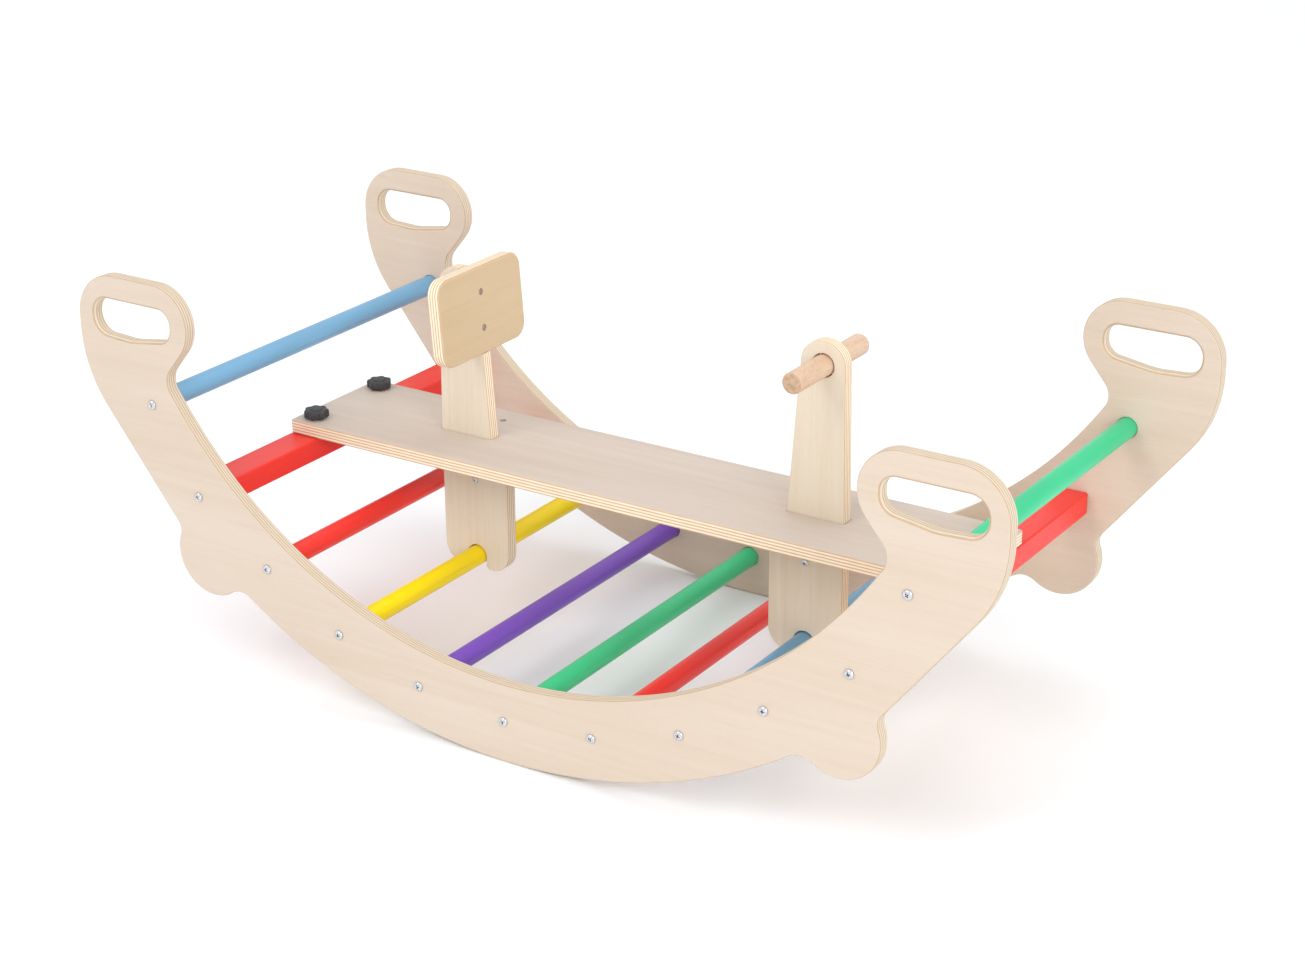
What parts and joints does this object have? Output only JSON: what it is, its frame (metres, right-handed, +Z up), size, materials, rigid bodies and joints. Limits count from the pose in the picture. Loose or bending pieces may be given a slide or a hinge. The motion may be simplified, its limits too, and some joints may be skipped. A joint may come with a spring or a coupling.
{
  "type": "seesaw",
  "caption": "Children's wooden rocker: two arched plywood side panels joined by coloured rungs, with a removable plank seat, backrest and handlebar held by star knobs.",
  "frame": {"origin": "on the floor, midway between the side panels and midway along the rocker", "axes": "+X from the backrest towards the handlebar, +Y to the rider's left, +Z up"},
  "size_m": [0.871, 0.4052, 0.345],
  "materials": {
    "birch_panel": "clear-varnished birch plywood, ply lines on the edges",
    "birch_plank": "clear-varnished birch plywood, ply lines on the edges",
    "birch_board": "clear-varnished birch plywood",
    "beech": "clear-varnished solid beech",
    "sky": "satin sky blue paint",
    "red": "satin red paint",
    "yellow": "satin yellow paint",
    "purple": "satin purple paint",
    "green": "satin green paint",
    "mint": "satin mint paint",
    "zinc": "zinc-plated steel",
    "black_plastic": "black moulded plastic, satin"
  },
  "bodies": {
    "frame": {"side_panel_left": "birch_panel", "side_panel_right": "birch_panel", "bar_rear": "red", "bar_front": "red", "rung_01_sky": "sky", "rung_03_red": "red", "rung_04_yellow": "yellow", "rung_05_purple": "purple", "rung_06_green": "green", "rung_07_red": "red", "rung_08_sky": "sky", "rung_09_yellow": "yellow", "rung_11_mint": "mint", "frame_screw_left_01": "zinc", "frame_screw_left_02": "zinc", "frame_screw_left_03": "zinc", "frame_screw_left_04": "zinc", "frame_screw_left_05": "zinc", "frame_screw_left_06": "zinc", "frame_screw_left_07": "zinc", "frame_screw_left_08": "zinc", "frame_screw_left_09": "zinc", "frame_screw_left_10": "zinc", "frame_screw_left_11": "zinc", "frame_screw_right_01": "zinc", "frame_screw_right_02": "zinc", "frame_screw_right_03": "zinc", "frame_screw_right_04": "zinc", "frame_screw_right_05": "zinc", "frame_screw_right_06": "zinc", "frame_screw_right_07": "zinc", "frame_screw_right_08": "zinc", "frame_screw_right_09": "zinc", "frame_screw_right_10": "zinc", "frame_screw_right_11": "zinc"},
    "seat": {"seat_plank": "birch_plank", "handle_post": "birch_plank", "back_post": "birch_plank", "back_board": "birch_board", "handlebar": "beech", "block_rear": "beech", "block_front": "beech", "board_screw_lower": "zinc", "board_screw_upper": "zinc", "plank_screw_rear": "zinc", "plank_screw_front": "zinc", "post_screw_rear": "zinc", "post_screw_front": "zinc", "handlebar_lock_screw": "zinc"},
    "stud_1": {"stud_1": "zinc"},
    "knob_1": {"knob_1": "black_plastic"},
    "stud_2": {"stud_2": "zinc"},
    "knob_2": {"knob_2": "black_plastic"},
    "stud_3": {"stud_3": "zinc"},
    "knob_3": {"knob_3": "black_plastic"},
    "stud_4": {"stud_4": "zinc"},
    "knob_4": {"knob_4": "black_plastic"}
  },
  "joints": [
    {"name": "seat_lift", "type": "slide", "parent": "frame", "child": "seat", "axis": [0, 0, 1], "range_m": [0, 0.25]},
    {"name": "stud_1_lift", "type": "slide", "parent": "seat", "child": "stud_1", "axis": [0, 0, 1], "range_m": [0, 0.0186]},
    {"name": "knob_1_turn", "type": "hinge", "parent": "stud_1", "child": "knob_1", "pos_m": [-0.312, -0.045, 0.1856], "axis": [0, 0, 1], "range_deg": [0, 6660]},
    {"name": "stud_2_lift", "type": "slide", "parent": "seat", "child": "stud_2", "axis": [0, 0, 1], "range_m": [0, 0.0186]},
    {"name": "knob_2_turn", "type": "hinge", "parent": "stud_2", "child": "knob_2", "pos_m": [-0.312, 0.045, 0.1856], "axis": [0, 0, 1], "range_deg": [0, 6660]},
    {"name": "stud_3_lift", "type": "slide", "parent": "seat", "child": "stud_3", "axis": [0, 0, 1], "range_m": [0, 0.0186]},
    {"name": "knob_3_turn", "type": "hinge", "parent": "stud_3", "child": "knob_3", "pos_m": [0.312, -0.045, 0.1856], "axis": [0, 0, 1], "range_deg": [0, 6660]},
    {"name": "stud_4_lift", "type": "slide", "parent": "seat", "child": "stud_4", "axis": [0, 0, 1], "range_m": [0, 0.0186]},
    {"name": "knob_4_turn", "type": "hinge", "parent": "stud_4", "child": "knob_4", "pos_m": [0.312, 0.045, 0.1856], "axis": [0, 0, 1], "range_deg": [0, 6660]}
  ],
  "couplings": [
    {"joint": "stud_1_lift", "follows": "knob_1_turn", "m_per_rad": 0.00015915},
    {"joint": "stud_2_lift", "follows": "knob_2_turn", "m_per_rad": 0.00015915},
    {"joint": "stud_3_lift", "follows": "knob_3_turn", "m_per_rad": 0.00015915},
    {"joint": "stud_4_lift", "follows": "knob_4_turn", "m_per_rad": 0.00015915}
  ]
}
